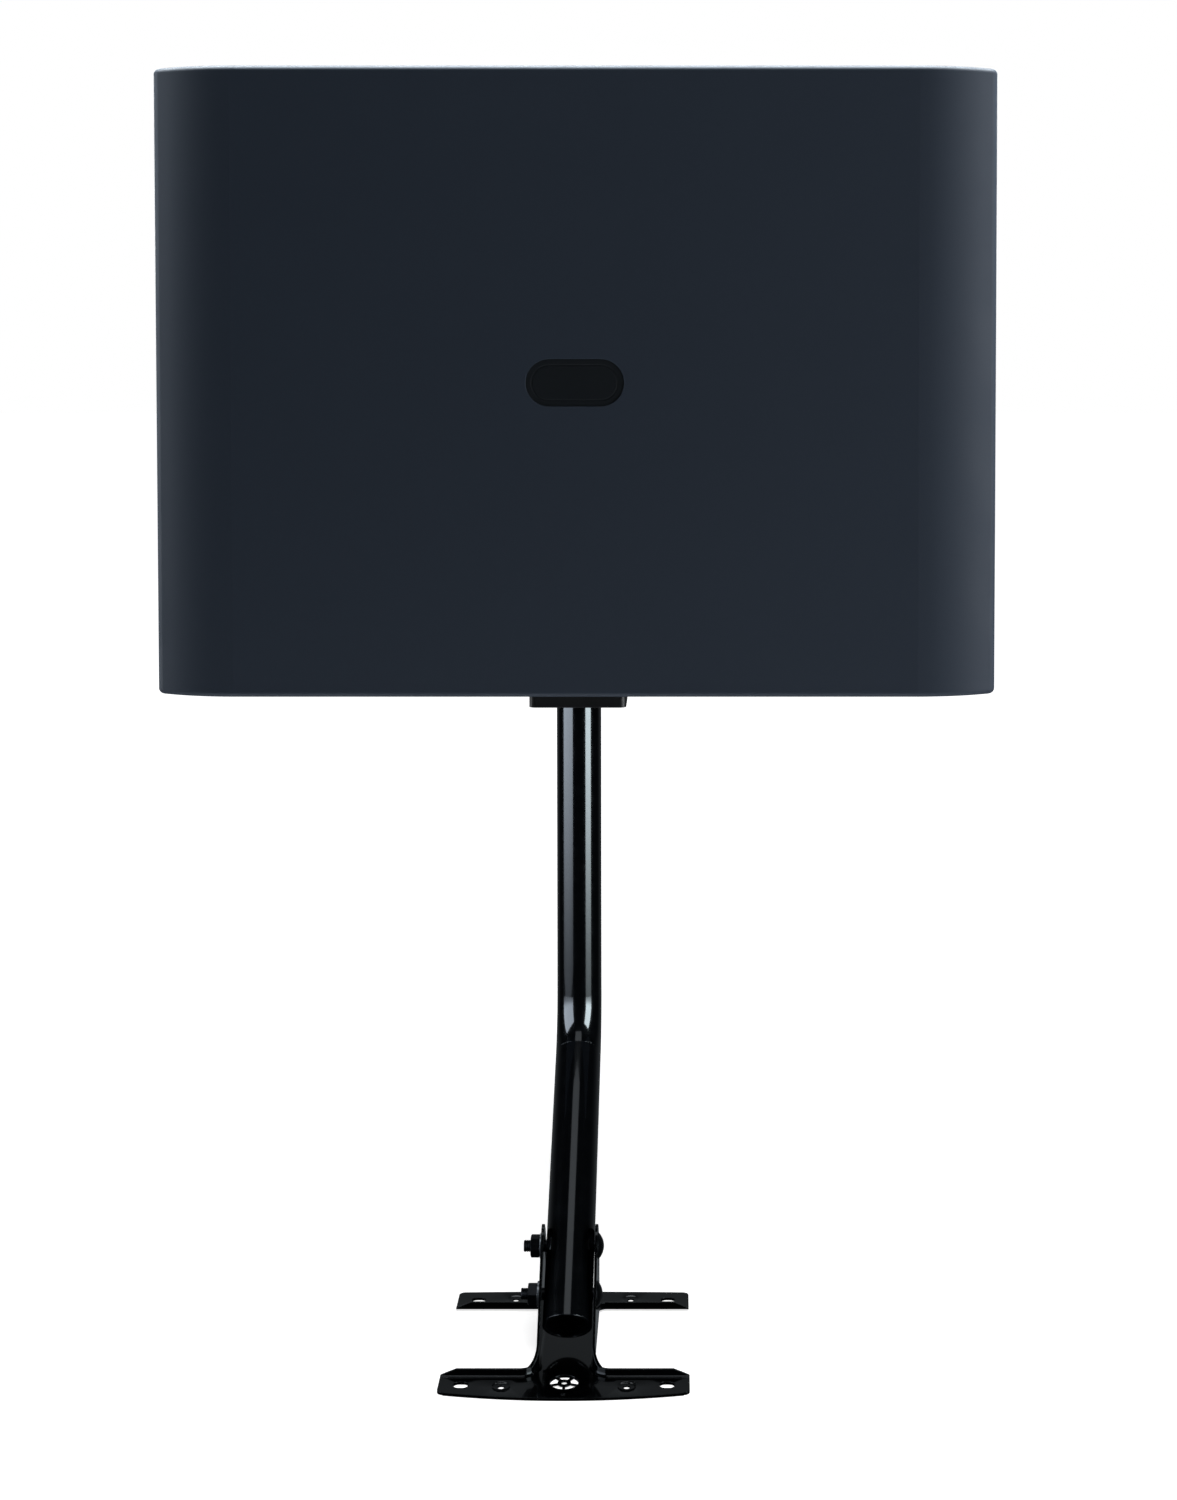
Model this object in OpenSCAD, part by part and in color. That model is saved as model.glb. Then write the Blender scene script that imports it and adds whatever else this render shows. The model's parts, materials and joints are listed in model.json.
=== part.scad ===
// Outdoor television antenna: a shallow weatherproof housing with a compact yagi-type array
// inside, on a bent 1-inch mast with a tilting pressed-steel foot.
// Origin: middle of the foot's underside. +Z up, +X to the viewer's right, the housing faces -Y.

/* [Foot] */
// Thickness of the pressed sheet
foot_t = 1.4; // [1.2:0.1:1.6]
// Half the length of each arm, along X
arm_half = 62.2; // [60:0.1:75]
// Inner edge of each arm, from the middle of the foot
arm_in = 36.1; // [36:0.1:38]
// Outer edge of the front arm at its middle
arm_out = 59.4; // [58:0.1:64]
// How far the front arm's outer edge bows out at its middle
arm_bow = 5.8; // [3:0.1:6]
// Outer edge of the rear arm at its middle
rear_out = 56.4; // [55.5:0.1:62]
// How far the rear arm's outer edge bows out at its middle
rear_bow = 0.8; // [0.5:0.1:4]
// Height of the upturned flange along each arm
flange_h = 4.8; // [4.5:0.1:6]
// Half the inside width between the two ears
ear_in = 13.3; // [13:0.1:14]
// Distance from the middle to each lag-screw slot, along X
slot_x = 51; // [48:0.5:55]
// Distance from the middle to each lag-screw slot, along Y
slot_y = 46.2; // [45:0.1:48]
// Width of each lag-screw slot
slot_w = 6; // [5:0.1:7]
// End-to-end length of each lag-screw slot
slot_l = 7.8; // [7:0.1:12]
// Distance from the middle to each small screw hole, along X
pilot_x = 31; // [28:0.5:36]
// Distance from the middle to each small screw hole, along Y
pilot_y = 47.5; // [46:0.1:49]
// Distance from the middle to each spoked knock-out, along Y
knock_y = 43.3; // [43:0.1:45]
// Diameter of each small screw hole
pilot_d = 3.5; // [3:0.1:4.2]

/* [Tilt joint] */
// How far the tilt pivot sits in front of the foot's middle
pivot_fwd = 2.3; // [2:0.1:3]
// Height of the tilt pivot above the underside
pivot_z = 27; // [26.5:0.5:30]
// Distance from the pivot bolt to the lock bolt
lock_r = 26; // [24:0.5:28]
// Lean of the lower leg from vertical, at rest
lean = 51; // [45:1:55]
// Least lean that the arc slot allows
lean_min = 39; // [37:1:42]
// Greatest lean that the arc slot allows
lean_max = 81; // [70:1:82]
// Diameter of the two carriage bolts
bolt_d = 6; // [5.9:0.1:6]

/* [Mast] */
// Outside diameter of the mast tube
tube_d = 25.4; // [25.4:0.1:25.6]
// Wall of the mast tube
tube_wall = 1.4; // [1.2:0.1:1.8]
// Length of the tube below the pivot bolt
tube_tail = 17; // [15:0.5:17.5]
// Distance along the leg from the pivot bolt to the corner of the bend
leg_l = 160; // [150:1:180]
// Centreline radius of the bend
bend_r = 40; // [38:1:70]
// Height of the top of the mast
mast_top = 440; // [430:1:442]

/* [Housing] */
// Width of the housing
housing_w = 466; // [460:0.1:500]
// Height of the housing
housing_h = 346; // [344:0.5:360]
// Depth of the housing, front to back
housing_d = 90; // [89:0.5:96]
// Height of the housing's underside
base_z = 323.2; // [323.2:0.1:324]
// Wall of the housing shells
wall = 2.6; // [2.4:0.1:2.8]
// Distance from the mast's axis forward to the front face
face_y = 44; // [44:0.5:46]
// Larger radius of each front corner, next to the flat face
corner_big = 83; // [70:1:90]
// Smaller radius of each front corner, next to the side
corner_small = 7; // [6.5:0.5:12]
// Radius of the back corners
corner_back = 16; // [12:1:18]
// Radius of the top and bottom edges
edge_r = 3; // [2:0.5:4]
// Depth of the rear cover
cover_d = 22; // [21.5:0.5:23]
// Width of the plain badge
badge_w = 54; // [40:1:60]
// Height of the plain badge
badge_h = 26; // [20:1:36]

/* [Mast socket] */
// Width of the flange block under the housing
block_w = 54.7; // [54:0.1:60]
// Depth of the flange block under the housing
block_l = 38; // [37.5:0.5:40]
// Height of the flange block
block_h = 9.7; // [9.4:0.1:9.7]
// Top of the socket tube
socket_top = 455; // [450:1:456]
// Outside radius of the adaptor sleeve
sleeve_r = 14.5; // [14.4:0.1:14.7]

/* [Array] */
// Height of the upper bay
bay_hi = 590; // [580:1:600]
// Height of the lower bay
bay_lo = 405; // [395:1:412]
// Length of each folded dipole
dipole_l = 290; // [270:1:310]
// Length of each director strip
director_l = 214; // [190:1:230]

/* [Hidden] */
$fn = 64;
tiny = 0.02;                                // least gap or overlap between two faces
fit = 0.05;                                 // clearance of a fitted part
hair = 0.01;                                // how much an arc outgrows the run before it

// colours shared by several pieces
frame_black = [0.03, 0.03, 0.035];
bolt_black = [0.05, 0.05, 0.055];
nut_black = [0.06, 0.06, 0.065];
plug_black = [0.1, 0.1, 0.1];
bright_grey = [0.75, 0.76, 0.78];
rod_grey = [0.76, 0.77, 0.79];
plate_grey = [0.7, 0.71, 0.73];
screw_grey = [0.6, 0.61, 0.63];
cream = [0.78, 0.77, 0.72];
copper = [0.8, 0.5, 0.3];

// foot and tilt joint
fold_in = 1.6;                              // inside radius of the sheet's bends
fold_out = fold_in + foot_t;                // outside radius of the sheet's bends
ear_out = ear_in + foot_t;
front_fillet = 8;                           // in plan, ear to front arm
rear_fillet = 4;                            // in plan, ear to rear arm
pivot_y = -pivot_fwd;
nose_r = 8.2;                               // material round the ends of the arc slot
slot_ends = [lean_min - 4.5, lean_max + 4.5];
bolt_r = bolt_d / 2;

// mast
mast_y = round((pivot_y + leg_l * sin(lean)) * 10) / 10; // mast axis, to a tenth
leg = (mast_y - pivot_y) / sin(lean);       // the leg as laid out from that axis
bend_tangent = bend_r * tan(lean / 2);
bend_top = pivot_z + leg * cos(lean) + bend_tangent;    // upper end of the bend
tube_r = tube_d / 2;
bore_r = tube_r - tube_wall;

// housing
half_w = housing_w / 2;
front_y = mast_y - face_y;
back_y = front_y + housing_d;
part_y = back_y - cover_d;                  // parting plane
shell_d = part_y - front_y;
top_z = base_z + housing_h;
mid_z = base_z + housing_h / 2;
floor_z = base_z + wall;                    // top of the housing's floor
// front corner: 30 degrees of the big radius, then 60 degrees of the small one;
// the centres are measured from the front face
flat_x = half_w - (corner_big * sin(30) + corner_small * (1 - sin(30)));
big_c = [flat_x, corner_big];
small_c = [half_w - corner_small, corner_big - (corner_big - corner_small) * cos(30)];
back_c = [half_w - corner_back, back_y - corner_back];
drain_x = 180;

// mast socket
block_z = base_z - block_h;                 // underside of the flange block
clamp_z = block_z + block_h / 2;
socket_r = sleeve_r + 3;                    // outside of the socket tube and sleeve collar
counterbore = 3.2;                          // depth, for each socket screw's head

// array and board
refl_t = 1.2;
refl_y = back_y - 25;                       // front of the reflector
refl_back = refl_y + refl_t;
boom_x = 72;
director_y = front_y + 8;
dipole_y = mast_y - 24.5;
dipole_r = 3;
fold_r = 11;                                // half the spacing of a dipole's two rods
feed_x = 6.4;
vhf_y = mast_y - 11;
vhf_z = mid_z - 2;
vhf_r = 4;
board_y = back_y - 19;
board_t = 1.6;
board_back = board_y + board_t;
can_z = mid_z - 16;                         // underside of the shield can
port = [52, back_y - 10];                   // connector's axis

// places on the XZ plane: [x, z]
cover_pts = [
    [-half_w + 20, base_z + 20], [half_w - 20, base_z + 20],
    [-half_w + 20, top_z - 20], [half_w - 20, top_z - 20],
    [-half_w + 20, mid_z], [half_w - 20, mid_z],
    [-100, top_z - 13], [100, top_z - 13],
    [-100, base_z + 13], [100, base_z + 13]];
refl_pts = [for (z = [120, -120, 0]) for (s = [-1, 1]) [s * 170, mid_z + z]];
board_pts = [for (z = [22, -22]) for (s = [-1, 1]) [s * 34, mid_z + z]];
boom_pts = [for (s = [-1, 1]) for (z = [bay_hi, bay_lo]) [s * boom_x, z]];
post_pts = [for (s = [-1, 1]) [s * 24, vhf_z]];
feed_pts = [for (s = [-1, 1]) [s * feed_x, mid_z + 32]];

// ---------- helpers ----------
// profile drawn in XZ, extruded along Y
module along_y(start, end)
    translate([0, end, 0]) rotate([90, 0, 0]) linear_extrude(end - start) children();

// profile drawn in YZ, extruded along X
module along_x(start, end)
    translate([start, 0, 0]) rotate([90, 0, 90]) linear_extrude(end - start) children();

module rod_x(start, end, r)
    translate([start, 0, 0]) rotate([0, 90, 0]) cylinder(r = r, h = end - start);

module rod_y(start, end, r)
    translate([0, start, 0]) rotate([-90, 0, 0]) cylinder(r = r, h = end - start);

module at_xz(points, y = 0) for (p = points) translate([p[0], y, p[1]]) children();

module at_mast(z = 0) translate([0, mast_y, z]) children();

module at_port(z) translate([port[0], port[1], z]) children();

module both_sides() {
    children();
    mirror([1, 0, 0]) children();
}

// outline made of its right half and that half's mirror image
function symmetric(half) =
    concat(half, [for (i = [len(half) - 1 : -1 : 0]) [-half[i][0], half[i][1]]]);

function arc_radius(half_chord, rise) = (half_chord * half_chord + rise * rise) / (2 * rise);

module ring(outer, inner, h) difference() {
    cylinder(r = outer, h = h);
    translate([0, 0, -1]) cylinder(r = inner, h = h + 2);
}

// round-ended bar; span is the distance between the end centres
module stadium(span, width) {
    square([span, width], center = true);
    for (s = [-1, 1]) translate([s * span / 2, 0]) circle(width / 2);
}

// shank with turned thread crests: plain up to z = plain, crests of the given pitch above it
module threaded(r, root, pitch, plain, h) rotate_extrude() polygon(concat(
    [[0, 0], [r, 0], [r, plain]],
    [for (i = [0 : floor((h - plain) / pitch) - 1]) for (crest = [false, true])
        crest ? [r, plain + pitch * (i + 0.85)] : [root, plain + pitch * (i + 0.35)]],
    [[root, h], [0, h]]));

// hexagonal nut or head with turned corners, standing on z = 0
module hex_body(flats, h, hole_r) difference() {
    edge = flats / 2;
    intersection() {
        cylinder(r = flats / sqrt(3), h = h, $fn = 6);
        rotate_extrude() polygon([
            [0, 0], [edge, 0], [edge + 0.9, 0.5],
            [edge + 0.9, h - 0.5], [edge, h], [0, h]]);
    }
    if (hole_r > 0) translate([0, 0, -1]) cylinder(r = hole_r, h = h + 2);
}

// pan head with a plain cross recess, standing on z = 0, shank of radius r and length l below
module pan_screw(r, l, head_r, head_h) difference() {
    pitch = 1.2;
    union() {
        translate([0, 0, -l]) rotate_extrude() polygon(concat(
            [[0, 0], [r * 0.55, 0]],
            [for (i = [0 : floor((l - 3) / pitch) - 1]) for (root = [false, true])
                root ? [r * 0.8, 1.6 + pitch * i] : [r, 1 + pitch * i]],
            [[r, l - 1], [r, l + 0.2], [0, l + 0.2]]));
        rotate_extrude() polygon([
            [0, 0], [head_r, 0], [head_r, head_h * 0.55],
            [head_r * 0.88, head_h * 0.86], [head_r * 0.6, head_h], [0, head_h]]);
    }
    for (a = [0, 90]) rotate(a) translate([-head_r * 0.55, -head_r * 0.11, head_h * 0.35])
        cube([head_r * 1.1, head_r * 0.22, head_h]);
}

// cap of a sphere: base radius r, height h, base on z = 0
module dome(r, h) intersection() {
    translate([0, 0, h - arc_radius(r, h)]) sphere(r = arc_radius(r, h));
    cylinder(r = r, h = h + 1);
}

// ---------- foot ----------
tall = 60;                                  // ear blank before it is cut to outline
arm_corner = 3;
knock_r = 7.15;                             // opening round each spoked knock-out
spoke_w = 1.4;
spoke_t = 0.6;

// point in YZ on the lock bolt's arc, at a lean from vertical
function lock_point(angle) = [pivot_y + lock_r * sin(angle), pivot_z + lock_r * cos(angle)];

// section of one wall and the strip of floor it stands on; outer face at x = 0
module wall_section(h) {
    translate([0, fold_out]) square([foot_t, h - fold_out]);
    translate([fold_out, 0]) square([2.5, foot_t]);
    intersection() {
        difference() {
            translate([fold_out, fold_out]) circle(fold_out);
            translate([fold_out, fold_out]) circle(fold_in);
        }
        square([fold_out, fold_out]);
    }
}

// sector that holds the arc slot
module slot_wedge() translate([pivot_y, pivot_z]) polygon([
    [0, 0],
    100 * [sin(slot_ends[0]), cos(slot_ends[0])],
    [120, 120],
    100 * [sin(slot_ends[1]), cos(slot_ends[1])]]);

// outline of an ear, with a flange-high strip along its whole foot
module ear_side() {
    upper = lock_point(slot_ends[0]);
    lower = lock_point(slot_ends[1]);
    start = [-arm_in + 1, flange_h];
    inner_r = nose_r - 0.03;                // straight edges and big arc lie inside the noses
    slope = atan2(upper[1] - start[1], upper[0] - start[0])
        + asin(inner_r / norm(upper - start));
    tangent = upper + inner_r * [-sin(slope), cos(slope)];
    translate([-90, 0]) square([180, flange_h]);
    polygon([
        [start[0], flange_h - 1], start, tangent, upper, lower,
        [lower[0] + inner_r, lower[1]], [lower[0] + inner_r, flange_h - 1]]);
    translate(upper) circle(nose_r);
    translate(lower) circle(nose_r);
    intersection() {
        translate([pivot_y, pivot_z]) circle(lock_r + inner_r);
        slot_wedge();
    }
}

module arc_slot() {
    half = bolt_r + 0.25;
    for (a = slot_ends) translate(lock_point(a)) circle(half);
    intersection() {
        difference() {
            translate([pivot_y, pivot_z]) circle(lock_r + half - 0.03);
            translate([pivot_y, pivot_z]) circle(lock_r - half + 0.03);
        }
        slot_wedge();
    }
}

// walls of the right-hand side: front flange, fillet, ear, fillet, rear flange
module foot_walls() {
    flange_x = ear_out + front_fillet;
    run = arm_half - flange_x;
    // flanges, sloped down over the last 8 mm
    intersection() {
        union() {
            translate([0, -arm_in, 0]) along_x(0, arm_half) mirror([1, 0]) wall_section(flange_h);
            translate([0, arm_in, 0]) along_x(0, arm_half) wall_section(flange_h);
        }
        translate([flange_x, 0, 0]) along_y(-100, 100) polygon([
            [0, -1], [run, -1], [run, foot_t + 0.3], [run - 8, flange_h], [0, flange_h]]);
    }
    translate([0, arm_in, 0]) along_x(ear_out + rear_fillet, flange_x) wall_section(flange_h);
    // ear and its two fillets
    intersection() {
        union() {
            translate([flange_x, -arm_in + front_fillet, 0]) rotate([0, 0, 180])
                rotate_extrude(angle = 90) translate([front_fillet, 0]) wall_section(tall);
            translate([ear_out + rear_fillet, arm_in - rear_fillet, 0]) rotate([0, 0, 90])
                rotate_extrude(angle = 90) translate([rear_fillet, 0]) wall_section(tall);
            translate([ear_out, 0, 0]) along_y(-arm_in + front_fillet, arm_in - rear_fillet)
                mirror([1, 0]) wall_section(tall);
        }
        along_x(0, 60) ear_side();
    }
}

// floor of the front arm; mirrored for the rear one
module arm_plan(out, bow) intersection() {
    corner_y = -out + bow + arm_corner;
    r = arc_radius(arm_half, bow);
    translate([-arm_half, -out - 1]) square([2 * arm_half, out + 1 - arm_in - fold_out]);
    translate([0, r - out]) circle(r, $fn = 256);
    union() {
        translate([-arm_half + arm_corner, -out - 1]) square([2 * (arm_half - arm_corner), 30]);
        translate([-arm_half, corner_y]) square([2 * arm_half, 30]);
        for (s = [-1, 1]) translate([s * (arm_half - arm_corner), corner_y]) circle(arm_corner);
    }
}

// floor between the ear fillets at the front arm; mirrored for the rear one
module fillet_plan(r) difference() {
    translate([-ear_out - r, -arm_in - fold_out - 1])
        square([2 * (ear_out + r), r + fold_out + 1]);
    for (s = [-1, 1]) translate([s * (ear_out + r), -arm_in + r]) circle(r + fold_out);
}

module floor_plan() {
    arm_plan(arm_out, arm_bow);
    fillet_plan(front_fillet);
    mirror([0, 1]) {
        arm_plan(rear_out, rear_bow);
        fillet_plan(rear_fillet);
    }
    translate([-ear_out + fold_out, -arm_in - fold_out - 1])
        square([2 * (ear_out - fold_out), 2 * (arm_in + fold_out + 1)]);
}

module knock_out() difference() {
    union() {
        cylinder(r = 3.4, h = spoke_t);
        for (k = [0 : 4]) rotate(270 + 72 * k) translate([1, -spoke_w / 2, 0])
            cube([6.6, spoke_w, spoke_t]);
    }
    translate([0, 0, -1]) cylinder(r = 1.5, h = 3);
}

module foot_bracket() color(frame_black) difference() {
    union() {
        difference() {
            linear_extrude(foot_t) floor_plan();
            for (s = [-1, 1]) translate([0, s * knock_y, -1]) cylinder(r = knock_r, h = 5);
        }
        for (s = [-1, 1]) translate([0, s * knock_y, 0.4]) knock_out();
        both_sides() foot_walls();
    }
    for (sx = [-1, 1]) for (sy = [-1, 1]) {
        translate([sx * slot_x, sy * slot_y, -1])
            linear_extrude(5) stadium(slot_l - slot_w, slot_w);
        translate([sx * pilot_x, sy * pilot_y, -1]) cylinder(r = pilot_d / 2, h = 5);
        translate([sx * pilot_x, sy * pilot_y, foot_t - 0.5]) cylinder(r1 = 3.6, r2 = 5, h = 0.51);
    }
    // dimple in the front arm
    translate([0, -56, foot_t + 1.6]) sphere(2);
    // tilt pivot: square on the head's side, round on the nut's side
    translate([ear_in - 2, pivot_y - bolt_r - fit, pivot_z - bolt_r - fit])
        cube([foot_t + 4, bolt_d + 2 * fit, bolt_d + 2 * fit]);
    at_pivot() rod_x(-ear_out - 2, -ear_in + 2, bolt_r + fit);
    both_sides() along_x(ear_in - 2, ear_out + 2) arc_slot();
}

// ---------- tilt fasteners, drawn about their own axis, which is along X ----------
washer_t = 1.2;
nut_gap = 0.03;                             // between the ear and the washer

module carriage_bolt() {
    translate([ear_out + tiny, 0, 0]) rotate([0, 90, 0]) dome(r = 6.6, h = 2.9);
    translate([ear_in - 0.1, -bolt_r, -bolt_r]) cube([foot_t + 0.6, bolt_d, bolt_d]);
    translate([ear_in, 0, 0]) rotate([0, -90, 0]) threaded(
        r = bolt_r, root = bolt_r - 0.35, pitch = 1,
        plain = ear_in + ear_out + 1, h = ear_in + 24.4);
}

module flat_washer() translate([-ear_out - nut_gap, 0, 0]) rotate([0, -90, 0])
    ring(6.2, bolt_r + 0.08, washer_t);

module hex_nut() translate([-ear_out - nut_gap - washer_t - 0.04, 0, 0]) rotate([0, -90, 0])
    hex_body(flats = 10, h = 4.8, hole_r = bolt_r + fit);

module at_pivot() translate([0, pivot_y, pivot_z]) children();

module at_lock() {
    centre = lock_point(lean);
    translate([0, centre[0], centre[1]]) rotate([-lean, 0, 0]) children();
}

module pivot_bolt() color(bolt_black) at_pivot() carriage_bolt();
module pivot_washer() color(bright_grey) at_pivot() flat_washer();
module pivot_nut() color(nut_black) at_pivot() rotate([12, 0, 0]) hex_nut();
module lock_bolt() color(bolt_black) at_lock() carriage_bolt();
module lock_washer() color(bright_grey) at_lock() flat_washer();
module lock_nut() color(nut_black) at_lock() rotate([20, 0, 0]) hex_nut();

// ---------- mast ----------
run_in = 0.4;                               // how far each straight run enters the bend

// two straight runs joined by the bend, which is slightly fatter than the runs that enter it
module mast_tube() color(frame_black) difference() {
    union() {
        at_pivot() rotate([-lean, 0, 0]) translate([0, 0, -tube_tail])
            ring(tube_r, bore_r, tube_tail + leg - bend_tangent + run_in);
        translate([0, mast_y - bend_r, bend_top]) rotate([90, 0, 90]) rotate([0, 0, -lean])
            rotate_extrude(angle = lean) translate([bend_r, 0]) difference() {
                circle(tube_r + tiny);
                circle(bore_r - tiny);
            }
        at_mast(bend_top - run_in) ring(tube_r, bore_r, mast_top - bend_top + run_in);
    }
    at_pivot() rod_x(-20, 20, bolt_r + fit);
    at_lock() rod_x(-20, 20, bolt_r + fit);
}

module mast_top_plug() color(plug_black) {
    at_mast(mast_top - 16) ring(bore_r - fit, bore_r - 2.2, 17);
    at_mast(mast_top + tiny) cylinder(r1 = tube_r - 0.05, r2 = tube_r - 1, h = 2.4);
}

// split sleeve with a collar resting over the socket tube
module adaptor_sleeve() color([0.82, 0.82, 0.8]) difference() {
    collar_top = socket_top + 3.4;
    union() {
        at_mast(block_z) cylinder(r = sleeve_r, h = collar_top - block_z);
        at_mast(socket_top + fit) cylinder(r = socket_r, h = collar_top - socket_top - fit);
    }
    at_mast(block_z - 1) cylinder(r = tube_r + fit, h = 200);
    at_mast(block_z - 1) translate([0, -1.5, 0]) cube([20, 3, 110]);
}

// ---------- mast socket ----------
block_corner = 4;

module block_plan() {
    square([block_w - 2 * block_corner, block_l], center = true);
    square([block_w, block_l - 2 * block_corner], center = true);
    for (sx = [-1, 1]) for (sy = [-1, 1])
        translate([sx * (block_w / 2 - block_corner), sy * (block_l / 2 - block_corner)])
            circle(block_corner);
}

module at_socket_screws(z)
    for (sx = [-1, 1]) for (sy = [-1, 1]) at_mast(z) translate([sx * 21.8, sy * 13, 0]) children();

module mast_socket() color(bolt_black) difference() {
    union() {
        at_mast(block_z) linear_extrude(block_h - tiny) block_plan();
        // boss behind the block for the clamp screw
        translate([-8, mast_y, block_z]) cube([16, block_l / 2 + 8, block_h - tiny]);
        at_mast(block_z) cylinder(r = socket_r, h = socket_top - block_z);
        // stiffening ribs, above the backing plate
        for (a = [45, 135, 225, 315]) at_mast(floor_z + 3) rotate(a) along_y(-1.2, 1.2) polygon([
            [14.8, 0], [19.5, 0], [19.5, 20], [sleeve_r + 2.5, 70], [14.8, 70]]);
    }
    at_mast(block_z - 1) cylinder(r = sleeve_r + fit, h = 200);
    at_socket_screws(block_z - 1) {
        cylinder(r = 2.15, h = block_h + 3);
        cylinder(r = 4.2, h = counterbore + 1);
    }
    at_mast(clamp_z) {
        rod_y(10, block_l / 2 + 12, 2.55);
        rod_y(10, 20.2, 3.45);
    }
}

module backing_plate() color(plate_grey) difference() {
    at_mast(floor_z + tiny) linear_extrude(2) block_plan();
    at_mast() cylinder(r = socket_r + 0.1, h = 400);
    at_socket_screws(300) cylinder(r = 1.95, h = 60);
}

module socket_screws() color(screw_grey) at_socket_screws(block_z + counterbore - tiny)
    mirror([0, 0, 1]) pan_screw(r = 1.9, l = 12.6, head_r = 3.8, head_h = 2.4);

// pad between the clamp screw's tip and the sleeve
module clamp_pad() color([0.8, 0.66, 0.35]) difference() {
    at_mast(clamp_z) rod_y(13, 16.9, 3.35);
    at_mast(block_z - 5) cylinder(r = sleeve_r + tiny, h = 40);
    at_mast(clamp_z) rod_y(15.6, 20, 1.45);
}

module clamp_screw() color(plate_grey) at_mast(clamp_z) {
    rod_y(15.65, 17.1, 1.4);
    translate([0, 31.95, 0]) rotate([-90, 0, 0]) mirror([0, 0, 1])
        threaded(r = 2.5, root = 2.15, pitch = 0.8, plain = 2, h = 15);
    translate([0, 31.9, 0]) rotate([-90, 0, 0]) {
        hex_body(flats = 8, h = 3.6, hole_r = 0);
        cylinder(r = 4.7, h = 0.9);
    }
}

// ---------- housing ----------
badge_depth = 1.2;                          // depth of the badge's recess
seat = 0.4;                                 // how far the cover stands behind the parting plane
screw_seat_y = back_y - 12;                 // where the cover screws' heads bear

// section across the housing's rim, rounded at both outer corners, grown all round by grow
module rim(inner, outer, grow = 0) {
    translate([inner, -grow]) square([outer - edge_r - inner, housing_h + 2 * grow]);
    translate([outer - edge_r - 0.5, edge_r])
        square([edge_r + 0.5 + grow, housing_h - 2 * edge_r]);
    for (z = [edge_r, housing_h - edge_r]) translate([outer - edge_r, z]) circle(edge_r + grow);
}

// drawn with the front face at y = 0 and the underside at z = 0; the outline's runs overlap
// a little, and each arc is a hair fatter than the run before it
module front_solid() {
    linear_extrude(housing_h) polygon(symmetric([
        [flat_x, corner_small + 2], small_c + [1, -1], small_c + [1, 9], [small_c[0], shell_d]]));
    translate([0, corner_small + 3, 0]) along_x(-flat_x - 0.4, flat_x + 0.4)
        mirror([1, 0]) rim(-1, corner_small + 3);
    both_sides() {
        translate(big_c) rotate(-90) rotate_extrude(angle = 30.2)
            rim(corner_big - corner_small - 9, corner_big, hair);
        translate(small_c) rotate(-60) rotate_extrude(angle = 60)
            rim(0.5, corner_small, 2 * hair);
        translate([small_c[0], 0, 0]) along_y(small_c[1] - 0.3, shell_d) rim(-1, corner_small);
    }
}

module front_cavity_plan() {
    polygon(symmetric([[flat_x, corner_small + 2], small_c, [small_c[0], shell_d + 1]]));
    translate([-flat_x - 0.4, wall]) square([2 * flat_x + 0.8, corner_small]);
    both_sides() {
        intersection() {
            translate(big_c) circle(corner_big - wall + hair);
            translate(big_c) polygon([
                [0, 0], 120 * [cos(-90), sin(-90)], 120 * [cos(-59.8), sin(-59.8)]]);
        }
        translate(small_c) circle(corner_small - wall + 2 * hair);
        translate([small_c[0] - 1, small_c[1] - 0.2])
            square([corner_small - wall + 1, shell_d + 1.2 - small_c[1]]);
    }
}

// the badge's outline, drawn in by inset
module badge_plan(inset) stadium(badge_w - badge_h, badge_h - 2 * inset);

module front_shell() color([0.145, 0.18, 0.225]) difference() {
    translate([0, front_y, base_z]) front_solid();
    difference() {
        translate([0, front_y, floor_z]) linear_extrude(housing_h - 2 * wall) front_cavity_plan();
        at_xz(cover_pts) rod_y(front_y, part_y + 2, 5);
        // shallow stiffening ribs behind the face
        for (x = [-150, -50, 50, 150]) translate([x - 1, front_y, base_z])
            cube([2, wall + 2.2, housing_h]);
        for (z = [-110, 60]) translate([-200, front_y, mid_z + z]) cube([400, wall + 2.2, 2]);
    }
    at_xz(cover_pts, part_y - 30) rod_y(0, 40, 1.75);
    translate([0, 0, mid_z]) along_y(front_y - 1, front_y + badge_depth) badge_plan(0);
    at_mast(base_z - 1) cylinder(r = socket_r + 0.3, h = wall + 4);
    at_socket_screws(base_z - 1) cylinder(r = 2.15, h = wall + 4);
    for (s = [-1, 1]) translate([s * drain_x, mast_y, base_z - 1]) cylinder(r = 3.05, h = 10);
}

// plain plate with a groove round its face
module front_badge() color([0.06, 0.07, 0.085]) translate([0, 0, mid_z]) difference() {
    along_y(front_y + 0.5, front_y + badge_depth - tiny) badge_plan(0.1);
    difference() {
        along_y(front_y, front_y + 0.72) badge_plan(3);
        along_y(front_y - 1, front_y + 2) badge_plan(3.8);
    }
}

module drain_plugs() color(plug_black) {
    head_h = 1.2;
    for (s = [-1, 1]) translate([s * drain_x, mast_y, base_z - head_h]) {
        ring(3, 1.2, wall + 2.4);
        ring(4.6, 1.2, head_h - tiny);
    }
}

module rear_solid() translate([0, 0, base_z]) {
    linear_extrude(housing_h) polygon(symmetric([[back_c[0], part_y], back_c]));
    translate([0, back_c[1], 0]) along_x(-back_c[0], back_c[0]) rim(-1, corner_back);
    both_sides() {
        translate(back_c) rotate_extrude(angle = 90) rim(0, corner_back);
        translate([back_c[0], 0, 0]) along_y(part_y, back_c[1]) rim(-1, corner_back);
    }
}

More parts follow.
